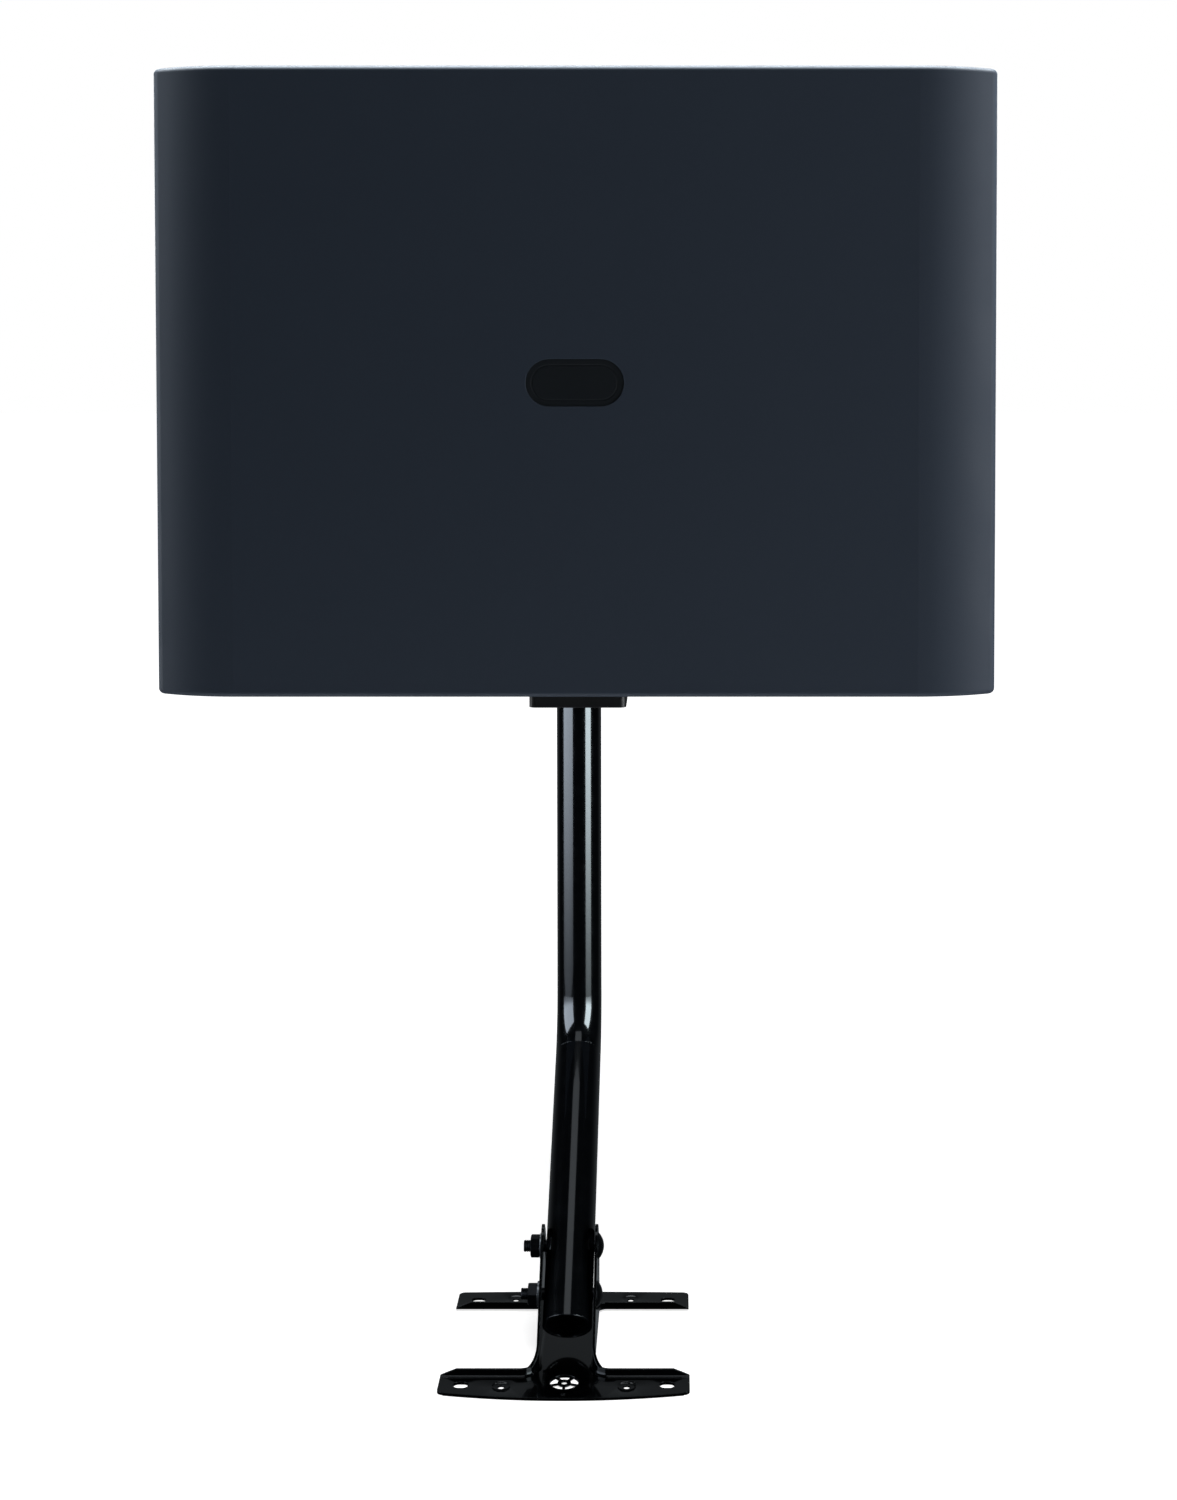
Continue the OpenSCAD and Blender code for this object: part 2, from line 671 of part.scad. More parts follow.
module rear_cavity_plan() {
    translate([-back_c[0], part_y - 1]) square([2 * back_c[0], cover_d - wall + 1]);
    both_sides() {
        translate(back_c) circle(corner_back - wall);
        translate([back_c[0] - 1, part_y - 1])
            square([corner_back - wall + 1, cover_d - corner_back + 1]);
    }
}

// rectangular frame, inset from the housing's outline
module frame_xz(inset, thick, start, end) along_y(start, end) difference() {
    inner = inset + thick;
    translate([-half_w + inset, base_z + inset])
        square([housing_w - 2 * inset, housing_h - 2 * inset]);
    translate([-half_w + inner, base_z + inner])
        square([housing_w - 2 * inner, housing_h - 2 * inner]);
}

module rear_cover() color([0.13, 0.16, 0.2]) difference() {
    post_y = refl_back + fit;
    union() {
        // hollow shell, with screw bosses, reflector posts and four upright ribs left inside
        difference() {
            translate([0, seat, 0]) rear_solid();
            difference() {
                translate([0, 0, floor_z]) linear_extrude(housing_h - 2 * wall) rear_cavity_plan();
                at_xz(cover_pts) rod_y(part_y + seat, back_y, 8);
                at_xz(refl_pts) rod_y(post_y, back_y, 4.5);
                for (x = [-150, -90, 90, 150]) translate([x - 1, back_y - wall - 3, base_z])
                    cube([2, 10, housing_h]);
            }
        }
        // tongue that enters the front shell, grooved for the gasket
        difference() {
            union() {
                frame_xz(wall - 0.1, 2.4, part_y + 0.5, part_y + 4);
                frame_xz(wall + 0.15, 2.15, part_y - 5, part_y + 1);
            }
            frame_xz(wall - 1, 2.2, part_y - 3.6, part_y - 2);
            at_xz(cover_pts) rod_y(part_y - 10, part_y + seat, 5.4);
        }
        // reflector posts reach forward past the parting plane
        at_xz(refl_pts) rod_y(post_y, back_y - 1, 4.5);
    }
    at_xz(cover_pts) {
        rod_y(screw_seat_y, back_y + 2, 6.2);
        rod_y(part_y - 1, back_y, 2.1);
    }
    at_xz(refl_pts) rod_y(refl_y, refl_y + 16, 1.3);
    at_port(base_z - 1) cylinder(r = 4.9, h = wall + 2);
}

module cover_gasket() color([0.05, 0.05, 0.05]) difference() {
    frame_xz(wall + 0.05, 1.1, part_y - 3.55, part_y - 2.05);
    at_xz(cover_pts) rod_y(part_y - 10, part_y + seat, 5.1);
}

module cover_screws() color(screw_grey) at_xz(cover_pts, screw_seat_y + tiny)
    rotate([-90, 0, 0]) pan_screw(r = 1.7, l = 28, head_r = 3.6, head_h = 2.4);

// ---------- array ----------
// hole through the reflector
module panel_hole(r) rod_y(refl_y - 1, refl_y + 3, r);

module reflector_panel() color([0.72, 0.73, 0.74]) difference() {
    translate([-188, refl_y, base_z + 24]) cube([376, refl_t, housing_h - 48]);
    // windows, left out behind the board
    for (x = [-155 : 38.75 : 155]) for (z = [-137, -112, -87, -30, 5, 40, 70, 95, 145])
        if (!(abs(x) < 60 && abs(z) < 50))
            translate([x - 12, refl_y - 1, mid_z + z - 3]) cube([24, 4, 6]);
    // opening for the feed leads
    translate([-9, refl_y - 1, mid_z + 26]) cube([18, 4, 12]);
    at_xz(concat(refl_pts, board_pts)) panel_hole(1.6);
    at_xz(concat(boom_pts, post_pts)) panel_hole(1.8);
}

module reflector_screws() color(screw_grey) at_xz(refl_pts, refl_y - tiny)
    rotate([90, 0, 0]) pan_screw(r = 1.25, l = 10, head_r = 3, head_h = 2);

module element_booms() color(cream) at_xz(boom_pts) difference() {
    union() {
        along_y(front_y + 5.5, refl_y - tiny) {
            square([9, 6], center = true);
            square([4, 14], center = true);
        }
        along_y(refl_y - 5, refl_y - tiny) square([16, 18], center = true);
        along_y(dipole_y - 4.5, dipole_y + 4.5) square([9, 32], center = true);
    }
    // notch for the director strip
    translate([-10, director_y - 0.8, -6]) cube([20, 1.6, 30]);
    for (k = [-1, 1]) translate([0, dipole_y, k * fold_r]) rod_x(-10, 10, dipole_r + fit);
    rod_y(refl_y - 14, refl_y + 1, 1.55);
}

module boom_screws() color(screw_grey) at_xz(boom_pts, refl_back + tiny)
    rotate([-90, 0, 0]) pan_screw(r = 1.5, l = 12, head_r = 3, head_h = 2);

module director_strips() color(bright_grey) {
    half_t = 0.7;
    end_r = 5.9;
    for (z = [bay_hi, bay_lo]) translate([0, director_y, z]) difference() {
        union() {
            translate([-director_l / 2, -half_t, -end_r]) cube([director_l, 2 * half_t, 2 * end_r]);
            for (s = [-1, 1]) translate([s * director_l / 2, 0, 0]) rod_y(-half_t, half_t, end_r);
        }
        for (s = [-1, 1]) translate([s * (director_l / 2 - 10), 0, 0]) rod_y(-3, 3, 2);
    }
}

// two rods joined by half rings; the lower rod is split at its middle
module folded_dipole() {
    end_x = dipole_l / 2 - fold_r;
    for (k = [-1, 1]) translate([0, 0, k * fold_r]) difference() {
        rod_x(-end_x, end_x, dipole_r);
        if (k == -1) translate([-4, -5, -5]) cube([8, 10, 10]);
    }
    both_sides() translate([end_x - tiny, 0, 0]) rotate([90, 0, 0]) rotate([0, 0, -90])
        rotate_extrude(angle = 180) translate([fold_r, 0]) circle(dipole_r);
}

module upper_folded_dipole() color(rod_grey) translate([0, dipole_y, bay_hi]) folded_dipole();

module lower_folded_dipole() color(rod_grey) translate([0, dipole_y, bay_lo])
    mirror([0, 0, 1]) folded_dipole();

// upright lines between the two dipoles
module phasing_lines() color(copper) {
    offset_z = fold_r + dipole_r + fit;
    for (s = [-1, 1]) translate([s * feed_x, dipole_y, bay_lo + offset_z])
        cylinder(r = 1.3, h = bay_hi - bay_lo - 2 * offset_z);
}

module feed_leads() color(copper) at_xz(feed_pts) rod_y(dipole_y + 1.4, board_y - fit, 1);

module vhf_insulator() color([0.1, 0.1, 0.11]) difference() {
    translate([-32, mast_y - 20, mid_z - 14]) cube([64, 18, 24]);
    both_sides() translate([0, vhf_y, vhf_z]) rod_x(8, 40, vhf_r + fit);
    at_xz(post_pts) rod_y(mast_y - 6, mast_y, 1.55);
}

module insulator_posts() color(cream) at_xz(post_pts) difference() {
    rod_y(mast_y - 2 + tiny, refl_y - tiny, 4.5);
    rod_y(mast_y - 3, refl_y + 1, 1.6);
}

module vhf_rods() color(rod_grey) both_sides() translate([0, vhf_y, vhf_z]) {
    rod_x(9, 200, vhf_r);
    translate([200 - tiny, 0, 0]) rotate([0, 90, 0]) dome(r = vhf_r, h = 2.5);
}

// end cheeks with a ridged winding between them; the profile is [radius, distance along the rod]
module loading_coils() color(copper) {
    bore = vhf_r + 0.06;
    cheek = 9.5;
    root = 7.4;
    crest = 8.4;
    for (s = [-1, 1]) translate([s * 118, vhf_y, vhf_z]) rotate([0, 90, 0]) translate([0, 0, -16])
        rotate_extrude() polygon(concat(
            [[bore, 0], [cheek, 0], [cheek, 2], [root, 2]],
            [for (i = [0 : 12]) for (k = [0, 1]) [k == 0 ? root : crest, 2.2 + 2.1 * i + k * 1.05]],
            [[root, 30], [cheek, 30], [cheek, 32], [bore, 32]]));
}

// ---------- board and lead ----------
module balun_board() color([0.1, 0.3, 0.18]) difference() {
    translate([-39, board_y, mid_z - 30]) cube([78, board_t, 68]);
    at_xz(board_pts) rod_y(back_y - 30, back_y, 1.6);
    at_xz(feed_pts) rod_y(back_y - 30, back_y, 1.2);
}

// can open towards the board, with round holes in its back
module shield_can() color(bright_grey) difference() {
    can = [54, 9, 38];
    can_wall = 0.6;
    translate([-can[0] / 2, board_back + tiny, can_z]) cube(can);
    translate([-can[0] / 2 + can_wall, board_back - can_wall, can_z + can_wall])
        cube([can[0] - 2 * can_wall, can[1], can[2] - 2 * can_wall]);
    for (x = [-18, -6, 6, 18]) for (z = [-6, 6, 14]) translate([x, 0, mid_z + z])
        rod_y(back_y - 12, back_y - 2, 1.4);
}

module board_standoffs() color(bright_grey) at_xz(board_pts) difference() {
    rod_y(refl_back + tiny, board_y - tiny, 3.2);
    rod_y(refl_y, board_y + 1, 1.3);
}

module board_screws() color(screw_grey) at_xz(board_pts, board_back + tiny)
    rotate([-90, 0, 0]) pan_screw(r = 1.25, l = 5, head_r = 2.6, head_h = 1.8);

// jumper lead from the shield can's underside to the connector, through two bends
module jumper_coax() color([0.07, 0.07, 0.07]) {
    lead_r = 1.7;
    start_x = 25;
    turn_r = (port[0] - start_x) / 2;
    drop = 40;
    turn_z = can_z - fit - drop;
    end_z = floor_z + 9.05;
    translate([start_x, port[1], turn_z]) cylinder(r = lead_r, h = drop);
    translate([start_x + turn_r, port[1], turn_z]) rotate([90, 0, 0]) rotate([0, 0, 180])
        rotate_extrude(angle = 90) translate([turn_r, 0]) circle(lead_r);
    translate([port[0] - turn_r, port[1], turn_z - 2 * turn_r]) rotate([90, 0, 0])
        rotate_extrude(angle = 90) translate([turn_r, 0]) circle(lead_r);
    at_port(end_z) cylinder(r = lead_r, h = turn_z - 2 * turn_r - end_z);
}

// F-type female connector through the rear cover's floor;
// its free end is turned to the full thread diameter
module coax_connector() color([0.8, 0.7, 0.4]) difference() {
    union() {
        at_port(base_z - 11.05) cylinder(r = 4.76, h = 7.5);
        at_port(base_z - 3.6) cylinder(r = 4.6, h = 3.6 + wall + 3);
        at_port(floor_z + tiny) cylinder(r = 7 / cos(30) * 0.9, h = 3, $fn = 6);
        at_port(floor_z + 3) cylinder(r = 3.4, h = 6);
    }
    at_port(base_z - 12) cylinder(r = 2.4, h = 9);
}

module connector_nut() color(bright_grey) at_port(base_z - 3.4)
    hex_body(flats = 13, h = 2.3, hole_r = 4.65);

module connector_seal() color([0.06, 0.06, 0.06]) at_port(base_z - 1.05) ring(7.4, 4.82, 1.03);

foot_bracket();
pivot_bolt();
pivot_washer();
pivot_nut();
lock_bolt();
lock_washer();
lock_nut();
mast_tube();
mast_top_plug();
adaptor_sleeve();
mast_socket();
backing_plate();
socket_screws();
clamp_pad();
clamp_screw();
front_shell();
rear_cover();
cover_gasket();
cover_screws();
front_badge();
drain_plugs();
reflector_panel();
reflector_screws();
element_booms();
boom_screws();
director_strips();
upper_folded_dipole();
lower_folded_dipole();
phasing_lines();
feed_leads();
vhf_insulator();
vhf_rods();
loading_coils();
insulator_posts();
balun_board();
shield_can();
board_standoffs();
board_screws();
jumper_coax();
coax_connector();
connector_nut();
connector_seal();
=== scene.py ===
# Looks for the flat-panel television antenna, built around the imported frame. Units: metres.
import bpy
import bmesh
import json
import math
import numpy as np
from mathutils import Vector, Matrix

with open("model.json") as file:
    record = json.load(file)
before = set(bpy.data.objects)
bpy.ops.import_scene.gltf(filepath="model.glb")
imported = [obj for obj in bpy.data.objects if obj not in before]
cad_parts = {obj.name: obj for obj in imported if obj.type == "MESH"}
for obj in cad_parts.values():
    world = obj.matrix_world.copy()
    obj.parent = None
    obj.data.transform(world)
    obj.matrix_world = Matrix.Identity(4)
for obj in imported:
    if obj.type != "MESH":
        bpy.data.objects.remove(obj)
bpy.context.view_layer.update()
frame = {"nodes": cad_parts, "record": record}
NODES = frame["nodes"]
scene = bpy.context.scene


# ------------------------------------------------------------------ shading normals
def smooth_normals(obj, limit=32.0):
    """Soft shading across the joints between CAD faces, sharp where they meet at more than limit degrees.
    Only the shading normals are set; the vertices stay as they are."""
    me = obj.data
    nv, nl, npoly = len(me.vertices), len(me.loops), len(me.polygons)
    co = np.empty(nv * 3)
    me.vertices.foreach_get("co", co)
    co = co.reshape(-1, 3)
    lv = np.empty(nl, np.int64)
    me.loops.foreach_get("vertex_index", lv)
    start = np.empty(npoly, np.int64)
    total = np.empty(npoly, np.int64)
    me.polygons.foreach_get("loop_start", start)
    me.polygons.foreach_get("loop_total", total)
    pn = np.empty(npoly * 3)
    me.polygons.foreach_get("normal", pn)
    pn = pn.reshape(-1, 3)
    area = np.empty(npoly)
    me.polygons.foreach_get("area", area)
    loop_poly = np.repeat(np.arange(npoly), total)
    # corner angle of each loop
    prev = np.arange(nl) - 1
    nxt = np.arange(nl) + 1
    prev[start] = start + total - 1
    nxt[start + total - 1] = start
    p, a, b = co[lv], co[lv[prev]], co[lv[nxt]]
    u, v = a - p, b - p
    lu = np.linalg.norm(u, axis=1)
    lw = np.linalg.norm(v, axis=1)
    ang = np.arccos(np.clip((u * v).sum(1) / np.maximum(lu * lw, 1e-18), -1, 1))
    w = ang * np.where(area[loop_poly] > 1e-13, 1.0, 0.0) + 1e-6
    key = np.round(co * 2e6).astype(np.int64)
    _, group = np.unique(key, axis=0, return_inverse=True)
    group = group.ravel()
    lg = group[lv]
    order = np.argsort(lg, kind="stable")
    counts = np.bincount(lg)
    first = np.concatenate([[0], np.cumsum(counts)[:-1]])
    ln = pn[loop_poly]
    out = np.zeros((nl, 3))
    cosl = math.cos(math.radians(limit))
    big = int(counts.max()) if len(counts) else 0
    g_first, g_count = first[lg], counts[lg]
    for k in range(big):
        ok = k < g_count
        other = order[np.where(ok, g_first + k, 0)]
        dot = (ln * ln[other]).sum(1)
        use = ok & (dot > cosl)
        out += np.where(use, w[other], 0.0)[:, None] * ln[other]
    norm = np.linalg.norm(out, axis=1)
    out = np.where(norm[:, None] > 1e-12, out / np.maximum(norm, 1e-12)[:, None], ln)
    me.polygons.foreach_set("use_smooth", np.ones(npoly, bool))
    me.normals_split_custom_set(out.tolist())


for o in NODES.values():
    smooth_normals(o)


# ------------------------------------------------------------------ materials
class Mat:
    """A small helper to wire procedural materials."""

    def __init__(self, name):
        self.m = bpy.data.materials.new(name)
        self.m.use_nodes = True
        self.t = self.m.node_tree
        self.n = self.t.nodes
        self.n.clear()
        self.out = self.n.new("ShaderNodeOutputMaterial")
        self.p = self.n.new("ShaderNodeBsdfPrincipled")
        self.link(self.p.outputs[0], self.out.inputs["Surface"])
        self.tc = self.n.new("ShaderNodeTexCoord")
        self.co = self.tc.outputs["Object"]

    def link(self, a, b):
        self.t.links.new(a, b)

    def set(self, **kw):
        for k, v in kw.items():
            self.p.inputs[k.replace("_", " ")].default_value = v

    def mapping(self, scale, rot=(0, 0, 0), src=None):
        mp = self.n.new("ShaderNodeMapping")
        mp.inputs["Scale"].default_value = scale
        mp.inputs["Rotation"].default_value = rot
        self.link(src or self.co, mp.inputs["Vector"])
        return mp.outputs[0]

    def noise(self, scale, detail=3.0, rough=0.5, vec=None, distortion=0.0):
        t = self.n.new("ShaderNodeTexNoise")
        t.inputs["Scale"].default_value = scale
        t.inputs["Detail"].default_value = detail
        t.inputs["Roughness"].default_value = rough
        t.inputs["Distortion"].default_value = distortion
        self.link(vec or self.co, t.inputs["Vector"])
        return t.outputs["Fac"]

    def voronoi(self, scale, feature="F1", vec=None, output="Distance"):
        t = self.n.new("ShaderNodeTexVoronoi")
        t.feature = feature
        t.inputs["Scale"].default_value = scale
        self.link(vec or self.co, t.inputs["Vector"])
        return t.outputs[output]

    def remap(self, src, a, b, c, d, smooth=False):
        r = self.n.new("ShaderNodeMapRange")
        r.interpolation_type = "SMOOTHSTEP" if smooth else "LINEAR"
        for i, x in zip(("From Min", "From Max", "To Min", "To Max"), (a, b, c, d)):
            r.inputs[i].default_value = x
        self.link(src, r.inputs["Value"])
        return r.outputs[0]

    def math(self, op, a, b=None):
        m = self.n.new("ShaderNodeMath")
        m.operation = op
        for i, x in enumerate((a, b)):
            if x is None:
                continue
            if isinstance(x, (int, float)):
                m.inputs[i].default_value = x
            else:
                self.link(x, m.inputs[i])
        return m.outputs[0]

    def mix(self, fac, a, b):
        m = self.n.new("ShaderNodeMix")
        m.data_type = "RGBA"
        if isinstance(fac, (int, float)):
            m.inputs["Factor"].default_value = fac
        else:
            self.link(fac, m.inputs["Factor"])
        for key, x in ((6, a), (7, b)):
            if isinstance(x, tuple):
                m.inputs[key].default_value = x + (1.0,) if len(x) == 3 else x
            else:
                self.link(x, m.inputs[key])
        return m.outputs[2]

    def edge(self, radius=0.0006, samples=4):
        """1 on sharp edges, 0 elsewhere."""
        b = self.n.new("ShaderNodeBevel")
        b.samples = samples
        b.inputs["Radius"].default_value = radius
        g = self.n.new("ShaderNodeNewGeometry")
        d = self.n.new("ShaderNodeVectorMath")
        d.operation = "DOT_PRODUCT"
        self.link(b.outputs[0], d.inputs[0])
        self.link(g.outputs["Normal"], d.inputs[1])
        return self.remap(d.outputs["Value"], 0.995, 0.93, 0.0, 1.0, True)

    def soft_edges(self, radius, samples=4):
        """Shading normal with the sharp edges rounded a little, to start a chain of bumps from."""
        b = self.n.new("ShaderNodeBevel")
        b.samples = samples
        b.inputs["Radius"].default_value = radius
        return b.outputs[0]

    def bump(self, height, strength, distance, prev=None):
        b = self.n.new("ShaderNodeBump")
        b.inputs["Strength"].default_value = strength
        b.inputs["Distance"].default_value = distance
        self.link(height, b.inputs["Height"])
        if prev is not None:
            self.link(prev, b.inputs["Normal"])
        self.link(b.outputs[0], self.p.inputs["Normal"])
        return b.outputs[0]


def moulded_plastic(name, base, lighter, rough, grain=1500.0, grain_depth=0.00002, spec=0.4):
    m = Mat(name)
    m.set(Specular_IOR_Level=spec)
    cloud = m.noise(6.0, 3.0, 0.5)
    col = m.mix(m.remap(cloud, 0.3, 0.7, 0.0, 0.5), base, lighter)
    m.link(m.mix(m.math("MULTIPLY", m.edge(0.0008), 0.35), col, tuple(min(1, c * 1.9 + 0.006) for c in base)), m.p.inputs["Base Color"])
    r = m.math("ADD", m.remap(m.noise(38.0, 4.0, 0.6), 0.3, 0.7, rough - 0.035, rough + 0.035),
               m.remap(m.noise(grain * 0.6, 2.0), 0.3, 0.7, -0.02, 0.02))
    m.link(r, m.p.inputs["Roughness"])
    g = m.bump(m.noise(grain, 2.0, 0.55), 0.25, grain_depth, m.soft_edges(0.0004))
    m.bump(m.noise(9.0, 1.0), 0.18, 0.0005, g)
    return m.m


def gloss_paint(name):
    """Gloss black powder coat: orange peel, a clear skin, dust and rubbed edges."""
    m = Mat(name)
    m.set(Specular_IOR_Level=0.2, Coat_Weight=1.0, Coat_Roughness=0.04, Coat_IOR=1.5)
    dust = m.remap(m.noise(55.0, 6.0, 0.65), 0.52, 0.8, 0.0, 1.0)
    col = m.mix(m.math("MULTIPLY", dust, 0.25), (0.0005, 0.0006, 0.0008), (0.0030, 0.0033, 0.0037))
    m.link(m.mix(m.math("MULTIPLY", m.edge(0.0005), 0.3), col, (0.02, 0.021, 0.023)), m.p.inputs["Base Color"])
    m.link(m.remap(m.noise(140.0, 4.0, 0.6), 0.3, 0.7, 0.13, 0.22), m.p.inputs["Roughness"])
    peel = m.bump(m.noise(420.0, 2.0, 0.45), 0.10, 0.00006, m.soft_edges(0.0005))
    n2 = m.bump(m.noise(60.0, 1.0), 0.10, 0.0002, peel)
    m.link(n2, m.p.inputs["Coat Normal"])
    return m.m


def metal(name, base, dark, rough, brushed=None, spangle=0.0, spread=0.08, scratch=0.3, metallic=1.0):
    m = Mat(name)
    m.set(Metallic=metallic)
    stain = m.remap(m.noise(70.0, 5.0, 0.62), 0.35, 0.75, 0.0, 0.7)
    col = m.mix(stain, base, dark)
    if spangle:
        cell = m.voronoi(160.0, output="Color")
        sep = m.n.new("ShaderNodeSeparateColor")
        m.link(cell, sep.inputs[0])
        col = m.mix(m.math("MULTIPLY", sep.outputs[0], spangle), col, tuple(min(1.0, c * 1.25) for c in base))
    col = m.mix(m.math("MULTIPLY", m.edge(0.0003), 0.4), col, tuple(min(1.0, c * 1.2 + 0.04) for c in base))
    m.link(col, m.p.inputs["Base Color"])
    vec = m.mapping(brushed) if brushed else None
    lines = m.noise(1800.0 if not brushed else 900.0, 3.0, 0.6, vec)
    m.link(m.math("ADD", m.remap(lines, 0.3, 0.7, rough - spread / 2, rough + spread / 2),
                  m.remap(m.noise(90.0, 4.0), 0.3, 0.7, -0.03, 0.05)), m.p.inputs["Roughness"])
    m.bump(lines, scratch, 0.00002, m.soft_edges(0.00025))
    return m.m


def rubber(name, base=(0.012, 0.012, 0.013), rough=0.72):
    m = Mat(name)
    m.set(Specular_IOR_Level=0.35, Sheen_Weight=0.15, Sheen_Roughness=0.5)
    m.link(m.mix(m.remap(m.noise(120.0, 5.0), 0.35, 0.75, 0.0, 0.6), base, tuple(c * 2.2 for c in base)), m.p.inputs["Base Color"])
    m.link(m.remap(m.noise(260.0, 4.0), 0.3, 0.7, rough - 0.08, rough + 0.08), m.p.inputs["Roughness"])
    m.bump(m.noise(1600.0, 3.0), 0.3, 0.00003)
    return m.m


def nylon(name):
    m = Mat(name)
    m.set(Specular_IOR_Level=0.45, Subsurface_Weight=0.15, Subsurface_Scale=0.002)
    m.link(m.mix(m.remap(m.noise(30.0, 4.0), 0.3, 0.7, 0.0, 1.0), (0.70, 0.68, 0.60), (0.60, 0.57, 0.48)), m.p.inputs["Base Color"])
    m.link(m.remap(m.noise(200.0, 3.0), 0.3, 0.7, 0.38, 0.52), m.p.inputs["Roughness"])
    m.bump(m.noise(900.0, 2.0), 0.2, 0.00003)
    return m.m


def circuit_board(name):
    """Green solder mask over copper runs."""
    m = Mat(name)
    m.set(Specular_IOR_Level=0.5, Coat_Weight=0.5, Coat_Roughness=0.15)
    grid = m.mapping((1.0, 1.0, 1.0))
    cells = m.voronoi(260.0, "F1", grid, "Distance")
    runs = m.n.new("ShaderNodeTexBrick")
    runs.offset = 0.5
    runs.inputs["Scale"].default_value = 150.0
    runs.inputs["Mortar Size"].default_value = 0.09
    runs.inputs["Color1"].default_value = (0, 0, 0, 1)
    runs.inputs["Color2"].default_value = (0, 0, 0, 1)
    runs.inputs["Mortar"].default_value = (1, 1, 1, 1)
    m.link(m.mapping((1.0, 1.0, 1.0), (math.radians(90), 0, 0)), runs.inputs["Vector"])
    lines = m.math("MULTIPLY", runs.outputs["Fac"], m.remap(m.noise(45.0, 1.0), 0.45, 0.55, 0.0, 1.0, True))
    pads = m.remap(cells, 0.18, 0.14, 0.0, 1.0)
    copper = m.math("MAXIMUM", m.math("MULTIPLY", lines, 0.7), m.math("MULTIPLY", pads, 0.9))
    m.link(m.mix(copper, (0.012, 0.075, 0.032), (0.05, 0.20, 0.08)), m.p.inputs["Base Color"])
    m.link(m.remap(m.noise(300.0), 0.3, 0.7, 0.28, 0.38), m.p.inputs["Roughness"])
    m.bump(copper, 0.5, 0.00004)
    return m.m


M = {
    "housing_plastic": moulded_plastic("housing_plastic", (0.0150, 0.0217, 0.0335), (0.0164, 0.0236, 0.0362), 0.60, spec=0.22),
    "badge_plastic": moulded_plastic("badge_plastic", (0.0045, 0.0062, 0.0080), (0.0058, 0.0078, 0.0100), 0.50, spec=0.2),
    "black_plastic": moulded_plastic("black_plastic", (0.0045, 0.0047, 0.0052), (0.0070, 0.0073, 0.0080), 0.42, 1100.0, 0.00004),
    "black_gloss_paint": gloss_paint("black_gloss_paint"),
    "black_zinc": metal("black_zinc", (0.030, 0.031, 0.034), (0.012, 0.012, 0.013), 0.30, metallic=0.85),
    "zinc_steel": metal("zinc_steel", (0.60, 0.61, 0.63), (0.42, 0.43, 0.45), 0.30, spangle=0.5),
    "aluminium": metal("aluminium", (0.78, 0.79, 0.80), (0.62, 0.63, 0.65), 0.30, brushed=(0.04, 1.0, 1.0), spread=0.12, scratch=0.2),
    "copper": metal("copper", (0.72, 0.36, 0.20), (0.45, 0.20, 0.10), 0.28),
    "brass": metal("brass", (0.78, 0.60, 0.30), (0.56, 0.40, 0.17), 0.28),
    "natural_nylon": nylon("natural_nylon"),
    "black_rubber": rubber("black_rubber"),
    "circuit_board": circuit_board("circuit_board"),
}

slots = {s["node"]: s["material_slot"] for s in frame["record"]["subparts"]}
for name, o in NODES.items():
    o.data.materials.clear()
    o.data.materials.append(M[slots[name]])


# ------------------------------------------------------------------ stage, lights, camera
def area(name, loc, target, sx, sy, power, color=(1, 1, 1), spread=180.0, vis_glossy=True):
    d = bpy.data.lights.new(name, "AREA")
    d.shape = "RECTANGLE"
    d.size, d.size_y = sx, sy
    d.energy = power
    d.color = color
    d.spread = math.radians(spread)
    o = bpy.data.objects.new(name, d)
    o.location = loc
    o.rotation_mode = "QUATERNION"
    o.rotation_quaternion = (Vector(target) - Vector(loc)).to_track_quat("-Z", "Y")
    o.visible_camera = False
    o.visible_glossy = vis_glossy
    scene.collection.objects.link(o)
    return o


w = bpy.data.worlds.new("studio")
w.use_nodes = True
scene.world = w
wn, wl = w.node_tree.nodes, w.node_tree.links
wn.clear()
wo = wn.new("ShaderNodeOutputWorld")
mixw = wn.new("ShaderNodeMixShader")
lp = wn.new("ShaderNodeLightPath")
wtc = wn.new("ShaderNodeTexCoord")
wsep = wn.new("ShaderNodeSeparateXYZ")
wl.new(wtc.outputs["Generated"], wsep.inputs[0])
wr = wn.new("ShaderNodeMapRange")          # a dim pale backdrop behind the object, a dark room in front
wr.interpolation_type = "SMOOTHSTEP"
for k, v in (("From Min", 0.30), ("From Max", 0.95), ("To Min", 0.008), ("To Max", 0.09)):
    wr.inputs[k].default_value = v
wl.new(wsep.outputs["Y"], wr.inputs["Value"])
amb = wn.new("ShaderNodeBackground")
amb.inputs["Color"].default_value = (0.84, 0.93, 1.0, 1)
wl.new(wr.outputs[0], amb.inputs["Strength"])
white = wn.new("ShaderNodeBackground")
white.inputs["Color"].default_value = (1, 1, 1, 1)
white.inputs["Strength"].default_value = 1.0
wl.new(lp.outputs["Is Camera Ray"], mixw.inputs[0])
wl.new(amb.outputs[0], mixw.inputs[1])
wl.new(white.outputs[0], mixw.inputs[2])
wl.new(mixw.outputs[0], wo.inputs[0])

